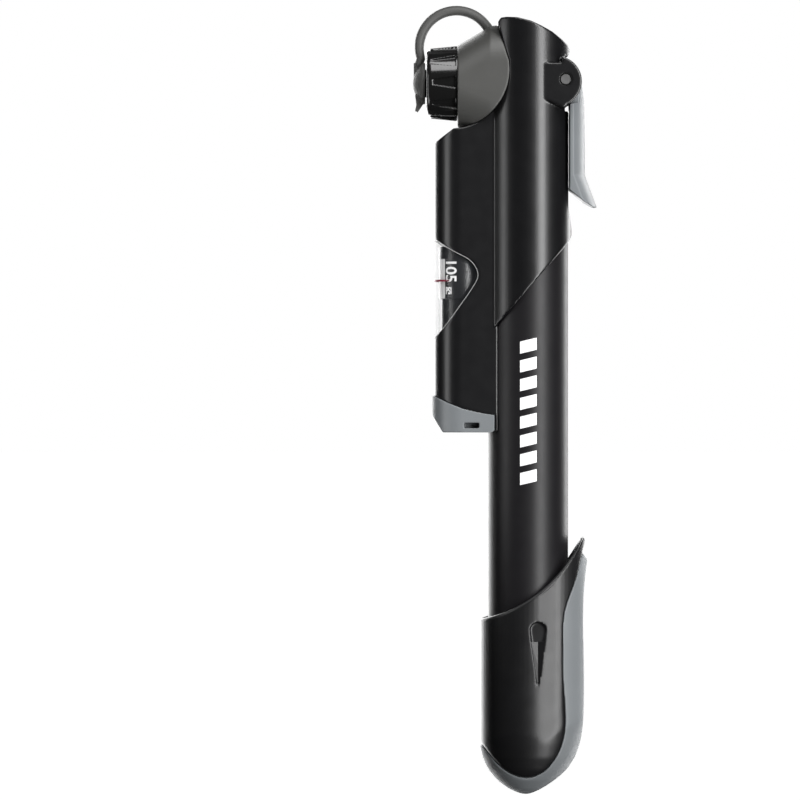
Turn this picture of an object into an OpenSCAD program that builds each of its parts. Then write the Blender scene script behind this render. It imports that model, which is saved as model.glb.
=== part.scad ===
// Hand pump for bicycle tyres, with an inline pressure gauge.
// Millimetres, +Z up. The origin is on the barrel's axis, halfway along the bare
// stretch of barrel that a frame clip holds. -X is the nozzle side, +X the lever side,
// and the XZ plane is the symmetry plane.

/* [Barrel and stroke] */
// Outer radius of the barrel
barrel_r = 12; // [11.5:0.1:12.1]
// Wall of the barrel
barrel_wall = 1.4; // [1:0.1:1.6]
// Lowest point of the barrel
barrel_z0 = -78; // [-78:0.5:-76]
// Top of the barrel, inside the body
barrel_z1 = 80; // [79:0.5:81]
// Radius of the piston rod
rod_r = 4; // [3.5:0.1:4.5]
// Running clearance of a round part in its bore
run_gap = 0.06; // [0.03:0.01:0.09]

/* [Body] */
// Outer radius of the body's sleeve over the barrel
sleeve_r = 13.05; // [13:0.05:13.2]
// Flat on the back of the sleeve, behind the lever
relief_x = 12; // [11.5:0.1:12]
// Half width of the gauge housing
gauge_r = 8.1; // [8:0.1:8.4]
// Axis of the gauge, in front of the barrel
gauge_x = -20.1; // [-20.4:0.1:-20]
// Wall of the gauge housing and its window
gauge_wall = 1.1; // [1:0.1:1.3]

/* [Chuck] */
// Height of the chuck's axis
chuck_z = 120.4; // [120:0.1:121]
// Radius of the chuck's stub under the lock ring
stub_r = 8; // [7.8:0.1:8.1]
// Radius of the hole for a tyre valve in the gasket
valve_r = 4; // [3.9:0.05:4.1]
// Radius of the lock ring at its base
ring_r = 11.25; // [11:0.05:11.4]
// Radius of the lock ring at its mouth
ring_front_r = 10.35; // [10.2:0.05:10.6]
// Flutes round the lock ring
flutes = 10; // [8:1:12]

/* [Lever] */
// Pin of the lever, across the ears
pin_x = 11.1; // [10.9:0.1:11.3]
// Height of the lever's pin
pin_z = 121.2; // [121:0.1:121.4]
// Radius of the lever's pin
pin_r = 1.5; // [1.4:0.1:1.6]
// Half width over the ears
ear_y = 12.25; // [11.8:0.05:12.3]
// Half width of the slot between the ears
fork_y = 7; // [6.8:0.1:7.2]
// Half width of the lever's paddle
paddle_y = 9; // [8:0.1:9.4]

/* [Handle] */
// Outer radius of the handle
handle_r = 14.4; // [14.2:0.1:14.6]
// Inner radius of the handle round the barrel
handle_bore_r = 12.5; // [12.4:0.05:12.6]
// Lowest point of the handle
handle_z0 = -92.7; // [-93:0.1:-92]

/* [Hidden] */

$fn = 96;
big = 200;                         // larger than the whole pump
bore_r = barrel_r - barrel_wall;   // inside of the barrel

// Gauge: window, drum and travel
drum_z = [55.8, 71.4];
drum_r = 6.6;
core_r = 6;
gauge_bore_r = 4;
gauge_index_z = 61.2;

// Chuck, from the lever side to the mouth
plunger_back_x = 7.5;
plunger_front_x = -21;
gasket_x = [-28.6, -22.5];
stub_x = [-29, 3];
ring_x = [-30.45, -21.3];
cover_x = -21.2;

// Lever: an eccentric hub pushes the plunger as the lever flips out
cam_r = 4.1;
cam_shift = 0.65;
paddle_x = 12.3;                   // flat underside of the paddle

// Piston, at the top of its stroke
piston_z = [66, 76];
handle_floor_z = -80;

// ---- helpers ----

// A side view, drawn as [x, z], given a width across the pump
module across(width) rotate([90, 0, 0]) linear_extrude(width, center = true) children();
// A disc or bar along X from x0 to x1
module along_x(r, x0, x1) translate([x0, 0, chuck_z]) rotate([0, 90, 0]) cylinder(r = r, h = x1 - x0);
// A disc or bar along Z from z0 to z1
module along_z(r, z0, z1) translate([0, 0, z0]) cylinder(r = r, h = z1 - z0);
// A washer along Z
module tube_z(r, hole, z0, z1) difference() {
    along_z(r, z0, z1);
    along_z(hole, z0 - 1, z1 + 1);
}
// An O-ring's section turned about Z
module o_ring(r, wire) rotate_extrude() translate([r, 0]) circle(r = wire, $fn = 24);
// A coil spring, drawn as closed turns held by two thin bars of the same wire
module coil(r, wire, z0, z1, turns) {
    for (i = [0:turns]) translate([0, 0, z0 + wire + i * (z1 - z0 - 2 * wire) / turns])
        o_ring(r, wire);
    for (a = [0, 180]) rotate(a) translate([r, 0, z0 + wire])
        cylinder(r = wire * 0.6, h = z1 - z0 - 2 * wire, $fn = 16);
}

// ---- shared outlines ----

// Plan of the gauge housing, drawn inward by an inset
module gauge_plan(inset = 0, back = -8.4) {
    translate([gauge_x, 0]) circle(r = gauge_r - inset);
    translate([gauge_x, -gauge_r + inset]) square([back - gauge_x, 2 * (gauge_r - inset)]);
}
// Side view of the window: a rounded triangle that points to the barrel
module window_side() {
    polygon([[-30, 75.8], [-28.1, 73.6], [-22.8, 70.2], [-16.9, 66.8],
        [-15.5, 64.7], [-15.1, 62.8], [-15.5, 60.7], [-16.9, 58.6], [-20.3, 54],
        [-24.1, 48.7], [-28.1, 43.8], [-30, 41.5]]);
}
// Points along an arc from angle a0 to a1
function arc(middle, r, a0, a1, steps) =
    [for (i = [0:steps]) let (a = a0 + (a1 - a0) * i / steps) middle + r * [cos(a), sin(a)]];
// Side view of the joint between the body and the nozzle cover
module cover_side(grow = 0) {
    polygon(concat(arc([-23.1, 124.2], 17.4 + grow, -105, 8, 24),
        [[-9.3 + grow, 138.2], [-11.4, 145], [-40, 145], [-40, 107.4]]));
}
// Side view of the grey end cap under the gauge
module end_cap_side() {
    polygon([[-28.8, 26.9], [-24, 24.6], [-19.5, 22.8], [-15, 21.7], [-10.2, 21], [-10.2, 16.4],
        [-10.9, 15.8], [-25.65, 15.8], [-28.8, 21]]);
}
// Side view of the ears round the lever's pin
module ear_side() {
    intersection() {
        translate([8.4, 120.6]) circle(r = 7.5);
        translate([10, 112.5]) square([20, 20]);
    }
    polygon([[4.4, 126.1], [4.4, 115.5], [5.2, 115], [10.1, 112.6], [11, 113], [11.5, 113.8],
        [11.5, 126.1]]);
}
// Side view of the sleeve and the crown over it
module sleeve_side() {
    polygon([[-14, 42.66], [11.7, 72.3], [12.5, 73.7], [13.3, 75.3], [12.9, 77.5],
        [relief_x, 83.5], [relief_x, 128.8], [12.45, 129.9], [11.8, 131.7], [10, 133.3],
        [7.2, 135.4], [4, 137.1], [0.8, 138.6], [-3.4, 139.7], [-6.9, 139.9], [-8.4, 139.7],
        [-9.3, 138.2], [-14, 134]]);
}
// Smooth line through points (Catmull-Rom, three steps between two points)
function curve(p) = [for (i = [0 : len(p) - 2], k = [0 : 2]) let (t = k / 3,
    a = p[max(i - 1, 0)], b = p[i], c = p[i + 1], d = p[min(i + 2, len(p) - 1)])
    0.5 * (2 * b + (c - a) * t + (2 * a - 5 * b + 4 * c - d) * t * t
        + (3 * b - a - 3 * c + d) * t * t * t)];
// Side view of the whole handle
module handle_side() {
    polygon(concat([[-14.4, -30], [-14.4, -58]], curve([[-14.45, -62], [-14.6, -71], [-14.55, -77],
        [-13.3, -82.4], [-10.7, -86.8], [-7.1, -90.1], [-3.6, -92], [-0.3, handle_z0], [3.5, -91.2],
        [7.6, -88.6], [11.6, -85.2], [14.3, -81.2], [15.8, -76.2], [16.5, -69.8], [16.7, -61],
        [16.6, -52], [16.4, -42], [16.5, -34], [16.9, -28.5], [17.5, -24]]),
        [[17.75, -22.4], [16.05, -20], [16.9, -17.2], [16.2, -14]]));
}
// Side view of the rubber grip: the back and the nose of the handle
module grip_side() {
    polygon(concat([[16.3, -20.2]], curve([[15.7, -21.7], [14.2, -27.7], [12.2, -32.9], [10.8, -37.1],
        [10.2, -41.5], [10.1, -48], [10.1, -55.3], [10.5, -62.9], [10.8, -69.8], [10.5, -74.3],
        [9.4, -78.4], [7.4, -82.2], [4.8, -85.2], [1.9, -86.8], [-0.9, -87.3], [-3.8, -86.7],
        [-7.1, -85], [-10.5, -81.8], [-14.3, -76.8]]), [[-20, -74], [-20, -100], [25, -100],
        [25, -20.2]]));
}

// ---- body, fixed to the bicycle by the clip ----

module main_body() color([0.05, 0.05, 0.055]) difference() {
    union() {
        intersection() {
            along_z(sleeve_r, 30, 145);
            across(big) sleeve_side();
        }
        // Gauge housing, cut by its sloping shoulder and by the end cap
        intersection() {
            linear_extrude(125) gauge_plan();
            across(big) difference() {
                polygon([[-40, 94], [-21.9, 107.1], [-5, 119.3], [-5, 16], [-40, 16]]);
                end_cap_side();
                translate([-40, 0]) square([30, 21]);
                polygon([[-40, 0], [-40, 32.2], [-28.8, 26.9], [-10.2, 10]]);
            }
        }
        across(2 * ear_y) ear_side();
    }
    along_z(barrel_r + 0.02, 0, barrel_z1);
    across(big) cover_side(0.05);
    // The sleeve is cut flat beside the ears
    for (s = [-1, 1]) translate([4.4, s * (ear_y + 5.03) - 5, 115.5]) cube([6, 10, 10.6]);
    // Slot for the lever's hub, its pin hole and the recess round the pin's end
    translate([4.8, -fork_y, 111.9]) cube([30, 2 * fork_y, 16.6]);
    translate([pin_x, 0, pin_z]) rotate([90, 0, 0]) cylinder(r = pin_r + 0.02, h = 40, center = true);
    // Bore for the chuck and its rear wall
    along_x(stub_r + 0.02, -30, stub_x[1]);
    along_x(3.2, 0, 6);
    // Valve chamber, air passages
    along_z(6, barrel_z1 - 1, 90);
    along_z(1.6, 80, chuck_z);
    translate([gauge_x, 0, 99.5]) rotate([0, 90, 0]) cylinder(r = 0.8, h = 20, $fn = 24);
    // Gauge: window chamber, cylinder and window
    linear_extrude(75) gauge_plan(gauge_wall, -13.2);
    translate([gauge_x, 0, 0]) along_z(gauge_bore_r, 50, 101);
    intersection() {
        across(big) window_side();
        translate([-40, -20, 30]) cube([26, 40, 60]);
    }
}
module barrel() color([0.08, 0.08, 0.09]) tube_z(barrel_r, bore_r, barrel_z0, barrel_z1);
module barrel_bush() color("dimgray") difference() {
    along_z(bore_r - 0.01, barrel_z0, barrel_z0 + 10);
    along_z(rod_r + run_gap, barrel_z0 - 1, barrel_z0 + 11);
}
module barrel_seal() color("black") translate([0, 0, barrel_z1 - 0.9]) o_ring(bore_r - 1, 0.8);
module valve_seat() color("silver") tube_z(bore_r - 2.2, 1.5, barrel_z1 - 3, barrel_z1 - 0.1);
module valve_disc() color("firebrick") along_z(3, barrel_z1 - 0.1, barrel_z1 + 0.9);
module valve_spring() color("silver") coil(2.2, 0.3, barrel_z1 + 0.95, 89.8, 5);

module head_cover() color([0.35, 0.35, 0.34]) difference() {
    intersection() {
        hull() {
            along_x_at(12.15, cover_x, 119.55);
            for (z = [116, 125.7]) along_x_at(12, -11.4, z);
            for (z = [116, 126.2]) along_x_at(12, -5, z);
        }
        across(big) difference() {
            cover_side();
            polygon([[-40, 80], [-40, 107.1], [-10, 107.1], [-10, 80]]);
        }
    }
    along_x(stub_r + 0.02, -40, 10);
}
// A thin disc facing along X
module along_x_at(r, x, z) translate([x, 0, z]) rotate([0, 90, 0]) cylinder(r = r, h = 0.1, $fn = 64);

module chuck_body() color([0.1, 0.1, 0.1]) difference() {
    along_x(stub_r, stub_x[0], stub_x[1]);
    along_x(5.25, -24, 1);
    along_x(6.98, stub_x[0] - 1, gasket_x[1]);
    along_x(3 + run_gap, -5, 5);
}
module chuck_gasket() color([0.2, 0.2, 0.2]) difference() {
    along_x(6.95, gasket_x[0], gasket_x[1]);
    along_x(valve_r, gasket_x[0] - 1, gasket_x[1] + 1);
}
module slip_washer() color("silver") difference() {
    along_x(7, -29.45, -29.1);
    along_x(4.8, -31, -28);
}
module lock_ring() color([0.03, 0.03, 0.03]) difference() {
    translate([ring_x[1], 0, chuck_z]) rotate([0, -90, 0])
        rotate_extrude() polygon([[0, 0], [ring_r, 0], [ring_front_r + 0.1, 8.2],
            [ring_front_r - 0.5, 8.95], [9.2, 9.15], [0, 9.15]]);
    // Wedge-shaped flutes, deeper towards the mouth
    for (i = [0:flutes - 1]) rotate_about_chuck(i * 360 / flutes)
        translate([-30.5, -1.6, 9.6]) rotate([0, -11.6, 0]) cube([10, 3.2, 3]);
    along_x(stub_r + 0.1, -29.5, 0);
    along_x(4.8, -40, 0);
}
// Turns a part about the chuck's axis
module rotate_about_chuck(a) translate([0, 0, chuck_z]) rotate([a, 0, 0]) children();

module chuck_plunger() color("silver") difference() {
    union() {
        along_x(5.1, plunger_front_x, -4.4);
        along_x(3, -5, plunger_back_x);
    }
    along_x(1.5, plunger_front_x - 1, -8);
    translate([plunger_front_x + 4, 0, chuck_z]) rotate([0, 90, 0]) o_ring(4.7, 0.47);
}
module plunger_seal() color("black") translate([plunger_front_x + 4, 0, chuck_z]) rotate([0, 90, 0])
    o_ring(4.7, 0.45);

module lever() color([0.42, 0.43, 0.44]) difference() {
    union() {
        // Hub between the ears
        translate([pin_x + cam_shift, 0, pin_z + cam_shift]) rotate([90, 0, 0])
            cylinder(r = cam_r, h = 2 * fork_y - 0.7, center = true);
        // Neck that joins the hub to the paddle
        intersection() {
            across(2 * fork_y - 0.7) polygon([[11.9, 120], [paddle_x, 113], [paddle_x, 104],
                [17, 104], [16.7, 115], [16.2, 118.5], [15.4, 123]]);
            paddle_round();
        }
        // Paddle with a flared tip
        difference() {
            intersection() {
                across(2 * paddle_y) polygon([[paddle_x, 114], [paddle_x, 90], [12.2, 88.4],
                    [16.6, 84.8], [19.4, 83.2], [20.7, 83.2], [20.6, 84.6], [17.1, 93.4],
                    [17, 104], [16.7, 115]]);
                paddle_round();
            }
            translate([pin_x, 0, pin_z]) rotate([90, 0, 0]) cylinder(r = 7.3, h = 40, center = true);
        }
    }
    translate([pin_x, 0, pin_z]) rotate([90, 0, 0])
        cylinder(r = pin_r + run_gap, h = 40, center = true);
    // Pockets under the paddle, with two ribs between them
    for (s = [-1, 0, 1]) translate([12, s * 3.9 - 1.6, 91]) cube([2.8, 3.2, 19]);
}
// The rounded back of the paddle, swept outward with the tip
module paddle_round() {
    translate([4, 0, 92]) cylinder(r = 13.05, h = 35);
    hull() {
        translate([4, 0, 92]) cylinder(r = 13.05, h = 1, $fn = 64);
        translate([7.7, 0, 82]) cylinder(r = 13.05, h = 1, $fn = 64);
    }
}
module lever_pin() color("silver") translate([pin_x, 0, pin_z]) rotate([90, 0, 0])
    cylinder(r = pin_r, h = 2 * ear_y - 0.4, center = true);

// ---- gauge ----

module gauge_lens() color([0.85, 0.9, 0.95, 0.4]) intersection() {
    linear_extrude(90) difference() {
        gauge_plan();
        gauge_plan(gauge_wall);
    }
    across(big) intersection() {
        window_side();
        translate([-40, 30]) square([26, 60]);
    }
}
module gauge_index() color("crimson") translate([gauge_x, 0, gauge_index_z - 0.2])
    linear_extrude(0.4) difference() {
        circle(r = gauge_r - gauge_wall);
        circle(r = gauge_r - gauge_wall - 0.2);
        translate([-3.6, -20]) square(40);
    }
module gauge_core() color([0.08, 0.08, 0.08]) translate([gauge_x, 0, 0]) {
    tube_z(core_r, 5.2, 24, 57);
    along_z(core_r, 24, 25.2);
}
module gauge_drum() color("white") translate([gauge_x, 0, 0]) {
    tube_z(drum_r, core_r + 0.15, drum_z[0], drum_z[1]);
    tube_z(drum_r - 0.1, 1.5, drum_z[1] - 0.8, drum_z[1]);
}
module gauge_piston() color("silver") translate([gauge_x, 0, 0]) {
    along_z(1.5, drum_z[1] - 0.8, 92);
    along_z(gauge_bore_r - run_gap, 92, 97);
}
module gauge_piston_seal() color("black") translate([gauge_x, 0, 97.6]) o_ring(3.3, 0.6);
module gauge_spring() color("silver") translate([gauge_x, 0, 0]) coil(4.3, 0.35, 25.3, 70.5, 14);
module gauge_end_cap() color([0.42, 0.43, 0.44]) difference() {
    intersection() {
        linear_extrude(40) gauge_plan(-0.7, -10);
        across(big) end_cap_side();
    }
    translate([gauge_x, 0, 24]) cylinder(r = core_r + 0.02, h = 10);
    along_z(barrel_r + 0.1, 0, 60);
    // Pockets that a bracket's hooks enter, one on each side
    for (s = [-1, 1]) translate([-17, s * 8, 17.85]) cube([4.5, 6, 1.6], center = true);
}

// ---- dust cap on its strap ----

module dust_cap() color([0.38, 0.38, 0.37]) {
    intersection() {
        translate([-26.4, 0, chuck_z]) sphere(r = 8.1);
        along_x(6.2, -40, -30.85);
    }
    along_x(6.2, -31.6, -30.85);
    along_x(4.1, -31, -29.6);
    // Lug that carries the strap, and the pull tab
    translate([-32.8, 0, 121]) cylinder(r = strap_r, h = 5.6);
    across(4) polygon([[-30.9, 117], [-33.9, 117], [-33.5, 114], [-33.9, 112.2], [-33.1, 111.8],
        [-31.6, 114], [-30.9, 115.2]]);
}
// Moulded strap: a round bar bent in an arc from the cap's lug to the cover, which it enters
strap_r = 1.5;
strap_arc = [-21.5, 131.2, 11.1];  // centre x and z, and radius
module strap_bend(r) translate([strap_arc[0], 0, strap_arc[1]]) rotate([90, 0, 0])
    rotate(29) rotate_extrude(angle = 171.5) translate([strap_arc[2], 0]) circle(r = r, $fn = 48);
module cap_tether() color([0.38, 0.38, 0.37]) strap_bend(strap_r);

// ---- handle ----

// Solid form of the handle, with its rim cut by a cylinder across it
module handle_form(inset = 0) intersection() {
    hull() {
        along_z_at(handle_r - inset, 0, -95, 64);
        along_z_at(handle_r - inset, 0, -14, 64);
        along_z_at(handle_r - 1 - inset, 4.2, -95, 64);
        along_z_at(handle_r - 1 - inset, 4.4, -14, 64);
    }
    across(big) difference() {
        handle_side();
        translate([-24.3, 3.5]) circle(r = 45, $fn = 180);
    }
    // Rounded nose, as height, centre, half length and half width
    hull() for (s = [[0, 1, 19, 17], [-62, 1, 19, 17], [-67, 1, 17.3, 15.5], [-72, 0.9, 16.1, 14.8],
        [-77, 0.55, 15.2, 13.9], [-81.3, 0.25, 14, 12.6], [-85, -0.15, 12.1, 10.9],
        [-88.2, -0.45, 9.3, 8.6], [-91, -0.6, 5.6, 5.4], [handle_z0 - 0.1, -0.5, 1.6, 1.6]])
        translate([s[1], 0, s[0]]) scale([s[2] - inset, s[3] - inset, 1])
            cylinder(r = 1, h = 0.05, $fn = 48);
}
module along_z_at(r, x, z, n) translate([x, 0, z]) cylinder(r = r, h = 0.1, $fn = n);
module handle_core() {
    along_z(13.4, -84.5, -38);
    hull() {
        along_z_at(13.4, 0, -60, 64);
        along_z_at(13.4, 2.2, -20, 64);
    }
}
module handle_shell() color([0.06, 0.06, 0.06]) difference() {
    union() {
        difference() {
            handle_form();
            across(big) grip_side();
        }
        intersection() {
            handle_form(1.2);
            handle_core();
        }
    }
    // Room for the barrel, wider towards the lever side at the rim
    along_z(handle_bore_r, handle_floor_z, 10);
    hull() {
        along_z_at(handle_bore_r, 0, -50, 64);
        along_z_at(handle_bore_r, 3.2, -12, 64);
    }
    along_z(2.1, -100, 0);
    along_z(4, -100, -83);
    // Teardrop recess in each side
    for (s = [-1, 1]) translate([0, s * (handle_r + 3.6), 0]) across(10) {
        translate([2.7, -43.1]) circle(r = 2.4);
        polygon([[0.35, -43.6], [2.7, -60.8], [5.05, -43.6]]);
    }
}
module handle_grip() color([0.42, 0.43, 0.44]) difference() {
    intersection() {
        handle_form();
        across(big) grip_side();
    }
    intersection() {
        handle_form(1.2);
        handle_core();
    }
    along_z(4, -86, -80);
}
module piston_rod() color("silver") difference() {
    along_z(rod_r, handle_floor_z, piston_z[1] - 2);
    along_z(1.9, handle_floor_z - 1, handle_floor_z + 12);
}
module rod_screw() color("dimgray") {
    along_z(1.9, -83, handle_floor_z + 11);
    along_z(3.8, -84.4, -83);
}
module piston_head() color("white") difference() {
    along_z(bore_r - 0.3, piston_z[0], piston_z[1]);
    along_z(rod_r, piston_z[0] - 1, piston_z[1] - 2);
    translate([0, 0, 71.5]) rotate_extrude() translate([bore_r - 1.3, -0.95]) square([3, 1.9]);
}
module piston_seal() color("black") tube_z(bore_r - 0.06, bore_r - 1.3, 70.6, 72.4);
module stroke_bumper() color([0.15, 0.15, 0.15]) tube_z(8, rod_r, 62, 65.95);

main_body();
barrel();
barrel_bush();
head_cover();
chuck_body();
chuck_gasket();
slip_washer();
lock_ring();
chuck_plunger();
plunger_seal();
lever();
lever_pin();
valve_seat();
valve_disc();
valve_spring();
barrel_seal();
gauge_lens();
gauge_index();
gauge_core();
gauge_drum();
gauge_piston();
gauge_piston_seal();
gauge_spring();
gauge_end_cap();
dust_cap();
cap_tether();
handle_shell();
handle_grip();
piston_rod();
piston_head();
piston_seal();
stroke_bumper();
rod_screw();
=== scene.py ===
"""Looks of a hand pump for bicycle tyres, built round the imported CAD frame. Metres."""
import math

import bmesh
import bpy
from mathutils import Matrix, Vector


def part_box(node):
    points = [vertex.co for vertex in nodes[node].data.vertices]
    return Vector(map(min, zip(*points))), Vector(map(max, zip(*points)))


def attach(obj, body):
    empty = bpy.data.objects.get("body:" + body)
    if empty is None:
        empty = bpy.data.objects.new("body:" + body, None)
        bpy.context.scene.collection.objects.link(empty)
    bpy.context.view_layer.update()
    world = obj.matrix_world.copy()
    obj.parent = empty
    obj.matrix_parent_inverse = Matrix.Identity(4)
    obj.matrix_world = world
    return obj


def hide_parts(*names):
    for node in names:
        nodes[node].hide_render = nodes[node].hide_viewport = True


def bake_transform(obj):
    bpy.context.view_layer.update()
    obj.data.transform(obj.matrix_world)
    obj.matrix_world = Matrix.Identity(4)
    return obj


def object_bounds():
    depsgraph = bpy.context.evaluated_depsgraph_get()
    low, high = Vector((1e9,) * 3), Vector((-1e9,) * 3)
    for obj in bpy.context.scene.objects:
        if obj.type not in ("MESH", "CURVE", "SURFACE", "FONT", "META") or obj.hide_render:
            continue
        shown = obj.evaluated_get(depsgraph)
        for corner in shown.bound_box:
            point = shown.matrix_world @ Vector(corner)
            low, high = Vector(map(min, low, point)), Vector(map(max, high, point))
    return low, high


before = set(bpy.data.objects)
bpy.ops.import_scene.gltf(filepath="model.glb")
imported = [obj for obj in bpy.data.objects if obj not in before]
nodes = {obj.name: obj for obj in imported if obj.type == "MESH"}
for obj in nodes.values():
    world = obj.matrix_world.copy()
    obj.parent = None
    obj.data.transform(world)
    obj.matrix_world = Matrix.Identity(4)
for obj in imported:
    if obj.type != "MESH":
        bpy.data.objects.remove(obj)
cad_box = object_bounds()
MM = 0.001


# ---------------------------------------------------------------- frame sizes
def centre(node):
    """Middle of a CAD node's box."""
    low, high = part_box(node)
    return (Vector(low) + Vector(high)) / 2


barrel_low, barrel_high = (Vector(p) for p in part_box("barrel"))
BARREL_R = barrel_high.x
drum_low, drum_high = (Vector(p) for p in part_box("gauge_drum"))
GAUGE = centre("gauge_drum")
DRUM_R = (drum_high.x - drum_low.x) / 2
HOUSING_R = (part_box("gauge_lens")[1][1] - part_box("gauge_lens")[0][1]) / 2
ring_low, ring_high = (Vector(p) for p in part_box("lock_ring"))
CHUCK = centre("lock_ring")
PIN = centre("lever_pin")
INDEX_Z = centre("gauge_index").z
DOME_TOP = -58 * MM  # below this height the handle's nose is a smooth dome


# ---------------------------------------------------------------- small helpers
def clamp(t):
    return min(max(t, 0), 1)


def eased(t):
    """0 to 1 with a soft start and end."""
    t = clamp(t)
    return t * t * (3 - 2 * t)


def letter(side):
    """Name ending for the two pieces of a mirrored pair: a faces -Y, b faces +Y."""
    return "a" if side < 0 else "b"


def grid_faces(rows, columns, closed):
    """Quads between rows of points, each row a closed loop; closed joins the last row to the first."""
    faces = []
    for i in range(rows if closed else rows - 1):
        j = (i + 1) % rows
        for k in range(columns):
            m = (k + 1) % columns
            faces.append((i * columns + k, i * columns + m, j * columns + m, j * columns + k))
    return faces


# ---------------------------------------------------------------- camera
def make_camera():
    """A long lens, level, square to the pump's side."""
    data = bpy.data.cameras.new("camera")
    data.sensor_width = 36
    view_width, distance = 240 * MM, 2.0
    camera = bpy.data.objects.new("camera", data)
    camera.location = (-38.4 * MM, -distance, 25.5 * MM)
    camera.rotation_euler = (math.radians(90), 0, 0)
    data.lens = data.sensor_width * distance / view_width
    bpy.context.collection.objects.link(camera)
    bpy.context.scene.camera = camera


make_camera()


# ---------------------------------------------------------------- materials
def material(name, colour, rough, metal=0.0, grain=0.0, grain_size=0.3 * MM, mottle=0.08,
             rough_spread=0.05, specular=0.5, coat=0.0):
    """A moulded, turned or rubber surface: noise drives its colour, roughness and fine bump."""
    mat = bpy.data.materials.new(name)
    mat.use_nodes = True
    tree = mat.node_tree
    shader = tree.nodes["Principled BSDF"]
    shader.inputs["Metallic"].default_value = metal
    shader.inputs["Specular IOR Level"].default_value = specular
    shader.inputs["Coat Weight"].default_value = coat
    place = tree.nodes.new("ShaderNodeTexCoord")

    def noise(size, detail):
        node = tree.nodes.new("ShaderNodeTexNoise")
        node.inputs["Scale"].default_value = 1 / size
        node.inputs["Detail"].default_value = detail
        tree.links.new(place.outputs["Object"], node.inputs["Vector"])
        return node.outputs["Fac"]

    def ramp(source, low, high):
        node = tree.nodes.new("ShaderNodeMapRange")
        node.inputs["To Min"].default_value, node.inputs["To Max"].default_value = low, high
        tree.links.new(source, node.inputs["Value"])
        return node.outputs["Result"]

    cloud_size, mark_size, bump_depth = 9 * MM, 4 * MM, 0.05 * MM
    # Colour: slow cloudy variation about the base colour
    mix = tree.nodes.new("ShaderNodeMix")
    mix.data_type = "RGBA"
    mix.inputs["A"].default_value = (*[c * (1 - mottle) for c in colour], 1)
    mix.inputs["B"].default_value = (*[c * (1 + mottle) for c in colour], 1)
    tree.links.new(noise(cloud_size, 4), mix.inputs["Factor"])
    tree.links.new(mix.outputs["Result"], shader.inputs["Base Color"])
    # Roughness: handling marks a few millimetres across
    tree.links.new(ramp(noise(mark_size, 5), rough - rough_spread, rough + rough_spread),
                   shader.inputs["Roughness"])
    if grain:
        bump = tree.nodes.new("ShaderNodeBump")
        bump.inputs["Strength"].default_value = grain
        bump.inputs["Distance"].default_value = bump_depth
        tree.links.new(noise(grain_size, 3), bump.inputs["Height"])
        tree.links.new(bump.outputs["Normal"], shader.inputs["Normal"])
    return mat


def clear_material():
    """Thin clear plastic: mostly see-through, with a gloss."""
    mat = material("clear_plastic", (0.05, 0.055, 0.06), 0.06, rough_spread=0.03, mottle=0.02)
    shader = mat.node_tree.nodes["Principled BSDF"]
    shader.inputs["Alpha"].default_value = 0.07
    mat.blend_method = "BLEND"
    return mat


BODY = material("satin_black", (0.004, 0.004, 0.0045), 0.3, grain=0.10, rough_spread=0.04)
BARREL = material("anodised_black", (0.007, 0.0065, 0.0075), 0.42, grain=0.12,
                  grain_size=0.12 * MM, specular=0.3)
HANDLE = material("handle_black", (0.005, 0.005, 0.0055), 0.38, grain=0.2)
RING = material("gloss_black", (0.006, 0.006, 0.006), 0.16, grain=0.03, coat=0.3)
COVER = material("warm_grey", (0.042, 0.042, 0.0395), 0.48, grain=0.35, mottle=0.06)
RUBBER = material("cap_rubber", (0.05, 0.05, 0.048), 0.6, grain=0.5, grain_size=0.2 * MM)
GREY = material("lever_grey", (0.135, 0.145, 0.152), 0.42, grain=0.25, mottle=0.05)
GRIP = material("grip_rubber", (0.135, 0.145, 0.152), 0.55, grain=0.5, grain_size=0.22 * MM,
                mottle=0.06)
STEEL = material("steel", (0.42, 0.42, 0.42), 0.32, metal=1.0, grain=0.1, grain_size=0.1 * MM)
ALLOY = material("turned_alloy", (0.72, 0.72, 0.73), 0.28, metal=1.0, grain=0.08,
                 grain_size=0.1 * MM)
BUSH = material("bush_plastic", (0.05, 0.05, 0.05), 0.5, grain=0.2)
SEAL = material("seal_rubber", (0.015, 0.015, 0.015), 0.5, grain=0.3)
PISTON_PLASTIC = material("piston_plastic", (0.62, 0.61, 0.58), 0.4, grain=0.1)
WHITE = material("print_white", (0.8, 0.8, 0.8), 0.4, grain=0.05)
SCALE_BLACK = material("print_black", (0.012, 0.012, 0.013), 0.3, grain=0.03)
RED = material("index_red", (0.16, 0.0, 0.02), 0.35, grain=0.03)
# Light grey and glossy: a painted highlight for the bright edge of the gauge lens
RIM_HIGHLIGHT = material("painted_window_highlight", (0.3, 0.3, 0.3), 0.2, grain=0.03)
# Near-black and nearly matt: painted shade for the gap round the lever's pin
GAP_SHADE = material("painted_pin_gap_shade", (0.002, 0.002, 0.002), 0.7, grain=0.05, specular=0.1)
CLEAR = clear_material()


# ---------------------------------------------------------------- mesh tools
def add(name, verts, faces, mat, body, smooth=True):
    """A new piece from points and faces, riding on a body."""
    mesh = bpy.data.meshes.new(name)
    mesh.from_pydata([tuple(v) for v in verts], [], faces)
    bm = bmesh.new()
    bm.from_mesh(mesh)
    bmesh.ops.remove_doubles(bm, verts=bm.verts, dist=1e-7)
    bmesh.ops.recalc_face_normals(bm, faces=bm.faces)
    bm.to_mesh(mesh)
    bm.free()
    piece = bpy.data.objects.new(name, mesh)
    bpy.context.collection.objects.link(piece)
    finish_piece(piece, mat, body, smooth)
    return piece


def finish_piece(piece, mat, body, smooth=True):
    """Material, shading and body of a piece."""
    piece.data.materials.clear()
    piece.data.materials.append(mat)
    for face in piece.data.polygons:
        face.use_smooth = smooth
    if body:
        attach(piece, body)


def bake(piece):
    """Applies a piece's modifiers to its mesh."""
    seen = piece.evaluated_get(bpy.context.evaluated_depsgraph_get())
    mesh = bpy.data.meshes.new_from_object(seen)
    piece.modifiers.clear()
    piece.data = mesh


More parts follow.
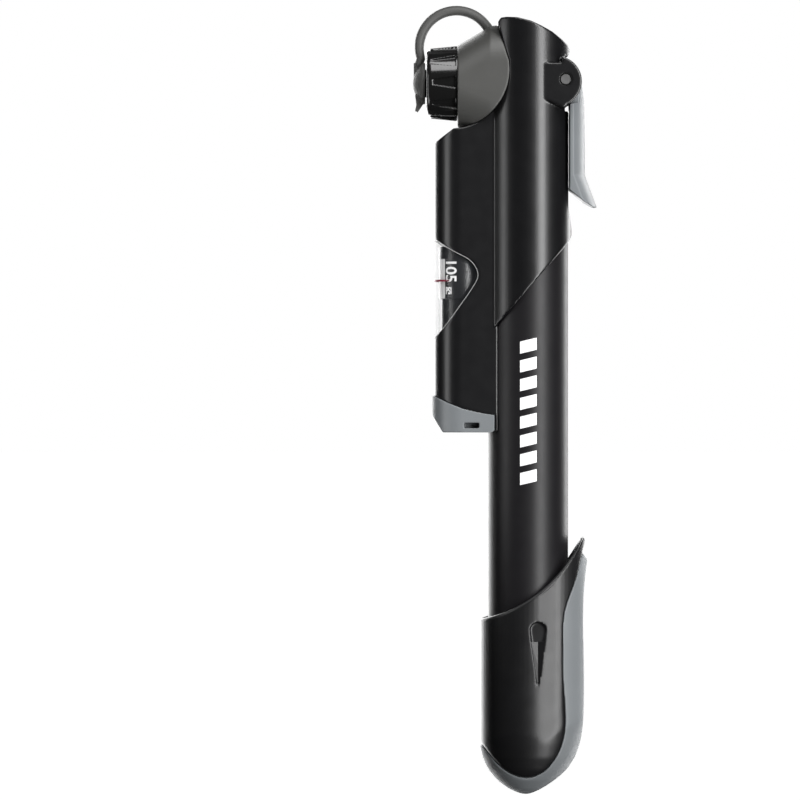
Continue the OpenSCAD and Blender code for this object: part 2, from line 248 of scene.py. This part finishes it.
def skin(node, mat, body, voxel=0.25 * MM, rounds=8, soft_below=None):
    """A fine copy of a CAD node whose edges are rounded as a mould rounds them.
    Below the height soft_below it is smoothed further, to take out the flats of a dome."""
    fade, dome_rounds = 8 * MM, 60
    piece = bpy.data.objects.new(node + "_skin", nodes[node].data.copy())
    bpy.context.collection.objects.link(piece)
    remesh = piece.modifiers.new("remesh", "REMESH")
    remesh.mode, remesh.voxel_size, remesh.adaptivity = "VOXEL", voxel, 0
    smooth = piece.modifiers.new("smooth", "SMOOTH")
    smooth.factor, smooth.iterations = 0.5, rounds
    bake(piece)
    if soft_below is not None:
        group = piece.vertex_groups.new(name="dome")
        for v in piece.data.vertices:
            weight = clamp((soft_below - v.co.z) / fade)
            if weight > 0:
                group.add([v.index], weight, "REPLACE")
        dome = piece.modifiers.new("dome", "SMOOTH")
        dome.factor, dome.iterations, dome.vertex_group = 0.5, dome_rounds, "dome"
        bake(piece)
    finish_piece(piece, mat, body)
    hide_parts(node)


def turned(name, profile, axis_point, axis, mat, body, steps=128, node=None):
    """A lathe-turned closed piece. profile is (radius, distance along the axis) points."""
    turn = Vector(axis).to_track_quat("Z", "Y").to_matrix()
    verts = []
    for i in range(steps):
        a = 2 * math.pi * i / steps
        for r, h in profile:
            verts.append(Vector(axis_point) + turn @ Vector((r * math.cos(a), r * math.sin(a), h)))
    piece = add(name, verts, grid_faces(steps, len(profile), True), mat, body)
    if node:
        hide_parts(node)
    return piece


def swept(name, path, radii, mat, body, sides):
    """A round bar along an open path, with a half width and a half height at each point."""
    verts, n = [], len(path)
    for i, p in enumerate(path):
        along = (path[min(i + 1, n - 1)] - path[max(i - 1, 0)]).normalized()
        side = Vector((0, 1, 0)) if abs(along.y) < 0.9 else Vector((1, 0, 0))
        up = along.cross(side).normalized()
        side = up.cross(along).normalized()
        wide, high = radii[i]
        for k in range(sides):
            a = 2 * math.pi * k / sides
            verts.append(p + side * wide * math.cos(a) + up * high * math.sin(a))
    faces = grid_faces(n, sides, False)
    faces += [tuple(range(sides)), tuple((n - 1) * sides + k for k in range(sides))]
    return add(name, verts, faces, mat, body)


def paint(node, mat):
    """A CAD node that stays as it is, with a better material and eased edges."""
    obj = nodes[node]
    obj.data.materials.clear()
    obj.data.materials.append(mat)
    bevel = obj.modifiers.new("eased_edges", "BEVEL")
    bevel.width, bevel.segments, bevel.limit_method = 0.12 * MM, 2, "ANGLE"
    bevel.angle_limit = math.radians(40)


# ---------------------------------------------------------------- body and barrel
skin("main_body", BODY, "head", 0.28 * MM, 8)
skin("head_cover", COVER, "head", 0.22 * MM, 8)
skin("gauge_end_cap", GREY, "head", 0.2 * MM, 5)
skin("lever", GREY, "lever_arm", 0.18 * MM, 8)
skin("dust_cap", RUBBER, "cap", 0.12 * MM, 8)
skin("handle_shell", HANDLE, "handle", 0.25 * MM, 7, DOME_TOP)
skin("handle_grip", GRIP, "handle", 0.25 * MM, 10, DOME_TOP)


def teardrop_grooves():
    """V-shaped groove in the lower part of each teardrop recess."""
    # Each row in mm: height, left and right edge, and how far out the edges and the groove's floor lie
    rows = [(-46.6, 0.62, 4.78, 13.95, 13.12), (-53.5, 1.6, 3.8, 14.02, 13.5),
            (-60.2, 2.6, 2.8, 14.05, 13.9)]
    root, middle, lean, corners = 12.8, 2.7, 0.1, 5
    for side in (-1, 1):
        verts = []
        for z, left, right, edge, floor in rows:
            for x, y in ((left, root), (left, edge), (middle, floor), (right, edge - lean), (right, root)):
                verts.append(Vector((x, side * y, z)) * MM)
        last = (len(rows) - 1) * corners
        faces = grid_faces(len(rows), corners, False)
        faces += [tuple(range(corners)), tuple(range(last, last + corners))]
        add("teardrop_groove_" + letter(side), verts, faces, HANDLE, "handle", False)


teardrop_grooves()


def handle_lip():
    """Rounded edge of the handle's scooped rim, thick at the lever side."""
    steps, sides, path = 160, 16, []
    rim_r, grip_reach, wide, high = 13.45, 2.75, 0.86, 0.75
    scoop_r, scoop_x, scoop_z = 45, -24.3, 3.1
    for i in range(steps):
        a = 2 * math.pi * i / steps
        x = rim_r * math.cos(a) + grip_reach * eased((math.cos(a) + 0.1) / 0.9)
        z = scoop_z - math.sqrt(scoop_r ** 2 - (x - scoop_x) ** 2)
        path.append((Vector((x, rim_r * math.sin(a), z)) * MM, a))
    verts = []
    for i, (p, a) in enumerate(path):
        along = (path[(i + 1) % steps][0] - path[i - 1][0]).normalized()
        out = Vector((math.cos(a), math.sin(a), 0))
        up = along.cross(out).normalized()
        out = up.cross(along).normalized()
        for k in range(sides):
            b = 2 * math.pi * k / sides
            verts.append(p + (out * math.cos(b) * wide + up * math.sin(b) * high) * MM)
    add("handle_lip", verts, grid_faces(steps, sides, True), HANDLE, "handle")


handle_lip()


def barrel():
    """Drawn tube with small chamfers at its ends."""
    low, high, wall, chamfer = barrel_low.z, barrel_high.z, 1.4 * MM, 0.3 * MM
    inner = BARREL_R - wall
    profile = [(BARREL_R - chamfer, low), (BARREL_R, low + chamfer), (BARREL_R, high - chamfer),
               (BARREL_R - chamfer, high), (inner + chamfer, high), (inner, high - chamfer),
               (inner, low + chamfer), (inner + chamfer, low)]
    piece = turned("barrel_tube", profile, (0, 0, 0), (0, 0, 1), BARREL, "head", 192, "barrel")
    edges = piece.modifiers.new("crisp", "EDGE_SPLIT")
    edges.split_angle = math.radians(35)
    bake(piece)


barrel()


def barrel_marks():
    """Plain white bars printed up the barrel: a graphic with no letters."""
    lift, width, turn = BARREL_R + 0.02 * MM, 5.0 * MM, -0.01
    top, step, height, slant = 43.5 * MM, 5.6 * MM, 3.6 * MM, 1.2 * MM
    bars, across = 8, 12
    for i in range(bars):
        z = top - i * step
        verts, faces = [], []
        for k in range(across + 1):
            u = k / across
            a = (u - 0.5) * width / lift + turn
            x, y = lift * math.sin(a), -lift * math.cos(a)
            verts += [(x, y, z + slant * (u - 0.5)), (x, y, z - height + slant * (u - 0.5))]
        for k in range(across):
            faces.append((2 * k, 2 * k + 1, 2 * k + 3, 2 * k + 2))
        add("barrel_bar_%d" % i, verts, faces, WHITE, "head")


barrel_marks()


# ---------------------------------------------------------------- nozzle
def lock_ring():
    """Gloss ring with wedge-shaped flutes that widen towards its base."""
    base_r, mouth_r, flutes, steps = 11.25 * MM, 10.35 * MM, 10, 480
    base_x, mouth_x = ring_high.x, ring_low.x
    length = base_x - mouth_x
    hole_r, bore_r, thread_x = 4.8 * MM, 8.1 * MM, mouth_x + 0.8 * MM
    lip_r, groove_deep, rows, lip_rows = 0.8 * MM, 0.12 * MM, 28, 5
    verts = []

    def wedge(u, a):
        """Depth of the flute at u from the mouth, 0 to 1, and angle a."""
        turn = (a * flutes / (2 * math.pi)) % 1 - 0.5
        half = 0.10 + 0.20 * u
        rise = clamp((u - 0.12) / 0.12) * clamp((0.97 - u) / 0.03)
        return eased((half - abs(turn)) / 0.035) * rise * (0.25 + 0.55 * u) * MM

    for i in range(steps):
        a = 2 * math.pi * i / steps
        ring = [(hole_r, mouth_x + 0.1 * MM), (hole_r + 0.15 * MM, mouth_x),
                (8.6 * MM, mouth_x), (8.8 * MM, mouth_x + groove_deep), (9.1 * MM, mouth_x + groove_deep),
                (9.3 * MM, mouth_x)]
        for k in range(lip_rows):
            t = math.pi / 2 * k / (lip_rows - 1)
            ring.append((mouth_r - lip_r + lip_r * math.sin(t),
                         mouth_x + 0.9 * MM * (1 - math.cos(t))))
        for k in range(1, rows):
            u = 0.1 + 0.9 * k / rows
            ring.append((mouth_r + (base_r - mouth_r) * u - wedge(u, a), mouth_x + length * u))
        ring += [(base_r - 0.1 * MM, base_x), (bore_r, base_x), (bore_r, thread_x), (hole_r, thread_x)]
        for r, x in ring:
            verts.append((x, r * math.sin(a), CHUCK.z + r * math.cos(a)))
    faces = grid_faces(steps, len(ring), True)
    piece = add("lock_ring_fluted", verts, faces, RING, "ring")
    split = piece.modifiers.new("crisp", "EDGE_SPLIT")
    split.split_angle = math.radians(45)
    bake(piece)
    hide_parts("lock_ring")


lock_ring()


def cap_strap():
    """Moulded strap from the cap's lug up and over to its socket in the cover.
    It is left on no body and nothing here bends it; the cap is hinged at its last 2 mm."""
    loop = Vector((-21.5, 0, 131.2)) * MM
    radius, steps, from_angle, sweep = 11.1 * MM, 64, 197, 170
    path = [Vector((-32.75, 0, 125.4)) * MM, Vector((-32.55, 0, 126.6)) * MM]
    for i in range(steps + 1):
        a = math.radians(from_angle - sweep * i / steps)
        path.append(loop + radius * Vector((math.cos(a), 0, math.sin(a))))
    n = len(path)
    radii = []
    for i in range(n):
        u = i / (n - 1)
        flare = 0.25 * max(0, 1 - u / 0.12) + 0.2 * max(0, (u - 0.9) / 0.1)
        slim = 0.25 * max(0, 1 - u / 0.2)
        radii.append(((1.75 + flare) * MM, (1.45 + flare * 0.3 - slim) * MM))
    piece = swept("cap_strap", path, radii, RUBBER, None, 32)
    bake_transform(piece)
    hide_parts("cap_tether")


cap_strap()


# ---------------------------------------------------------------- gauge
def on_drum(radius, along, z, side):
    """Point on the drum: along is the arc length from the front, side -1 faces -Y."""
    a = along / radius
    return Vector((GAUGE.x - radius * math.cos(a), side * radius * math.sin(a), z))


def drum_band(name, radius, span, z_low, z_high, mat, body):
    """A printed patch round the front of the drum, span of arc to each side."""
    steps, verts, faces = 48, [], []
    for i in range(steps + 1):
        s = span * (2 * i / steps - 1)
        verts += [on_drum(radius, abs(s), z, 1 if s > 0 else -1) for z in (z_low, z_high)]
    for i in range(steps):
        faces.append((2 * i, 2 * i + 1, 2 * i + 3, 2 * i + 2))
    add(name, verts, faces, mat, body)


def gauge():
    """Black drum with a white front and a generic number, seen in the window."""
    wall, low, high, ease = 0.45 * MM, drum_low.z, drum_high.z, 0.13 * MM
    roof, rod_r, line = 0.8 * MM, 1.5 * MM, 0.28 * MM
    profile = [(DRUM_R - wall, low), (DRUM_R - ease, low), (DRUM_R, low + ease), (DRUM_R, high - ease),
               (DRUM_R - ease, high), (rod_r, high), (rod_r, high - roof), (DRUM_R - wall, high - roof)]
    turned("gauge_drum_sleeve", profile, (GAUGE.x, 0, 0), (0, 0, 1), SCALE_BLACK, "gauge_slider",
           node="gauge_drum")
    print_r = DRUM_R + 0.02 * MM
    front = math.radians(43) * print_r
    drum_band("drum_front", print_r, front, low + 0.1 * MM, 67.7 * MM, WHITE, "gauge_slider")
    for side in (-1, 1):
        label("105", 64.3 * MM, front + 0.35 * MM, side, print_r, 5.0 * MM, True)
        label("PSI", 58.1 * MM, front + 0.3 * MM, side, print_r, 2.9 * MM)
    # Red index line printed on the window
    index_r = HOUSING_R + 0.02 * MM
    drum_band("index_line", index_r, math.radians(55) * index_r, INDEX_Z - line, INDEX_Z + line, RED, "head")


def label(text, z, start, side, radius, size, turned_down=False):
    """A number or unit wrapped on the drum, upright or reading downwards."""
    strips, squeeze_down, squeeze_upright = 14, 0.95, 0.62
    data = bpy.data.curves.new("label", "FONT")
    data.body, data.size, data.align_y, data.offset = text, size, "CENTER", 0.1 * MM
    source = bpy.data.objects.new("label", data)
    bpy.context.collection.objects.link(source)
    bpy.context.view_layer.update()
    mesh = bpy.data.meshes.new_from_object(source.evaluated_get(
        bpy.context.evaluated_depsgraph_get()))
    bpy.data.objects.remove(source)
    width = max(v.co.x for v in mesh.vertices)
    low = min(v.co.y for v in mesh.vertices)
    high = max(v.co.y for v in mesh.vertices)
    # Cut into narrow strips, so that the flat letters can follow the drum
    bm = bmesh.new()
    bm.from_mesh(mesh)
    normal, span = (Vector((0, 1, 0)), (low, high)) if turned_down else (Vector((1, 0, 0)), (0, width))
    for i in range(1, strips):
        level = span[0] + (span[1] - span[0]) * i / strips
        bmesh.ops.bisect_plane(bm, geom=bm.verts[:] + bm.edges[:] + bm.faces[:],
                               plane_co=normal * level, plane_no=normal)
    bm.to_mesh(mesh)
    bm.free()
    for v in mesh.vertices:
        if turned_down:
            along, up = v.co.y - low, (0.5 * width - v.co.x) * squeeze_down
            if side > 0:
                along, up = high - v.co.y, -up
        else:
            along, up = squeeze_upright * (v.co.x if side < 0 else width - v.co.x), v.co.y
        v.co = on_drum(radius, start + along, z + up, side)
    piece = bpy.data.objects.new("numeral_%s_%s" % (text, letter(side)), mesh)
    bpy.context.collection.objects.link(piece)
    finish_piece(piece, WHITE, "gauge_slider", False)


gauge()


def painted_window_highlight():
    """Thin light-grey bead round the window, where the lens meets the housing: a painted highlight for the
    bright edge of the lens.
    """
    corners = [(-28.15, 73.4), (-22.8, 70.2), (-17.2, 67.0), (-15.1, 62.8), (-17.2, 58.4),
               (-20.3, 54), (-24.1, 48.7), (-28.15, 43.8)]
    bead_r, sink, parts = 0.09 * MM, 0.02 * MM, 10
    # A smooth curve through the corners
    outline = []
    for i in range(len(corners) - 1):
        p0, p1 = corners[max(i - 1, 0)], corners[i]
        p2, p3 = corners[i + 1], corners[min(i + 2, len(corners) - 1)]
        for k in range(parts):
            t = k / parts
            outline.append([0.5 * (2 * p1[j] + (p2[j] - p0[j]) * t
                            + (2 * p0[j] - 5 * p1[j] + 4 * p2[j] - p3[j]) * t * t
                            + (3 * p1[j] - p0[j] - 3 * p2[j] + p3[j]) * t ** 3) for j in (0, 1)])
    outline.append(list(corners[-1]))
    for side in (-1, 1):
        path = []
        for x, z in outline:
            reach = x * MM - GAUGE.x
            y = HOUSING_R if reach > 0 else math.sqrt(max(HOUSING_R ** 2 - reach ** 2, 0))
            path.append(Vector((x * MM, side * (y - sink), z * MM)))
        swept("window_highlight_bead_" + letter(side), path, [(bead_r, bead_r)] * len(path), RIM_HIGHLIGHT, "head", 10)


painted_window_highlight()


# ---------------------------------------------------------------- nodes kept as they are
for name, finish in {
    "gauge_lens": CLEAR, "gauge_index": RED, "gauge_core": SCALE_BLACK, "gauge_piston": ALLOY,
    "gauge_piston_seal": SEAL, "gauge_spring": STEEL, "barrel_bush": BUSH, "chuck_body": BUSH,
    "chuck_gasket": SEAL, "slip_washer": STEEL, "chuck_plunger": ALLOY, "plunger_seal": SEAL,
    "lever_pin": STEEL, "valve_seat": BUSH, "valve_disc": SEAL, "valve_spring": STEEL,
    "barrel_seal": SEAL, "piston_rod": ALLOY, "piston_head": PISTON_PLASTIC, "piston_seal": SEAL,
    "stroke_bumper": SEAL, "rod_screw": STEEL,
}.items():
    paint(name, finish)


def shaded_pin_gaps():
    """Near-black, nearly matt ring round each end of the lever's pin, sunk in the ear: painted shade for the
    dark gap round the pin.
    """
    inner, outer, deep, top = 1.52 * MM, 1.92 * MM, 0.12 * MM, 0.2 * MM
    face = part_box("lever_pin")[1][1] + 0.2 * MM
    profile = [(inner, 0), (outer, 0), (outer, deep), (1.8 * MM, top), (1.6 * MM, top), (inner, deep)]
    for side in (-1, 1):
        turned("pin_gap_shade_ring_" + letter(side), profile, (PIN.x, side * (face - deep), PIN.z), (0, side, 0),
               GAP_SHADE, "head", 64)


shaded_pin_gaps()


# ---------------------------------------------------------------- floor, world, lights
def stage():
    """A white floor that only the camera sees, and a world that is white to the camera
    and nearly dark as a light."""
    pull_room, size = 135 * MM, 30
    low = cad_box[0][2] - pull_room  # clear of the handle when it is pulled out
    mesh = bpy.data.meshes.new("floor")
    mesh.from_pydata([(-size, -size, low), (size, -size, low), (size, size, low), (-size, size, low)],
                     [], [(0, 1, 2, 3)])
    floor = bpy.data.objects.new("floor", mesh)
    bpy.context.collection.objects.link(floor)
    mesh.materials.append(material("floor_white", (0.9, 0.9, 0.9), 0.9, mottle=0.01))
    shader = mesh.materials[0].node_tree.nodes["Principled BSDF"]
    shader.inputs["Emission Color"].default_value = (1, 1, 1, 1)
    shader.inputs["Emission Strength"].default_value = 1.0
    floor.visible_glossy = floor.visible_diffuse = floor.visible_shadow = False

    world = bpy.data.worlds.new("studio")
    bpy.context.scene.world = world
    world.use_nodes = True
    tree = world.node_tree
    back = tree.nodes["Background"]
    ray = tree.nodes.new("ShaderNodeLightPath")
    level = tree.nodes.new("ShaderNodeMapRange")
    level.inputs["To Min"].default_value, level.inputs["To Max"].default_value = 0.015, 1.0
    tree.links.new(ray.outputs["Is Camera Ray"], level.inputs["Value"])
    tree.links.new(level.outputs["Result"], back.inputs["Strength"])
    back.inputs["Color"].default_value = (1, 1, 1, 1)


def softbox(name, azimuth, width, height, power, distance=0.7, z=0.03, elevation=0, x=0.0):
    """A soft light aimed at the pump, at an azimuth round it, 0 being the camera's side."""
    data = bpy.data.lights.new(name, "AREA")
    data.shape, data.size, data.size_y, data.energy = "RECTANGLE", width, height, power
    light = bpy.data.objects.new(name, data)
    a, e = math.radians(azimuth), math.radians(elevation)
    light.location = (x + distance * math.sin(a) * math.cos(e), -distance * math.cos(a) * math.cos(e),
                      z + distance * math.sin(e))
    light.rotation_euler = (math.radians(90) - e, 0, a)
    light.visible_camera = False
    bpy.context.collection.objects.link(light)


stage()
softbox("key_right", 36, 0.22, 1.2, 10.5)
softbox("side_left", -60, 0.03, 0.17, 0.055, distance=0.085, z=0.068, x=GAUGE.x)
softbox("top_fill", 10, 0.8, 0.5, 8.0, distance=0.9, elevation=62)
softbox("back_left", 205, 0.5, 1.2, 10.0)
softbox("back_right", 140, 0.3, 1.2, 6.0)
bpy.context.scene.view_settings.view_transform = "Standard"
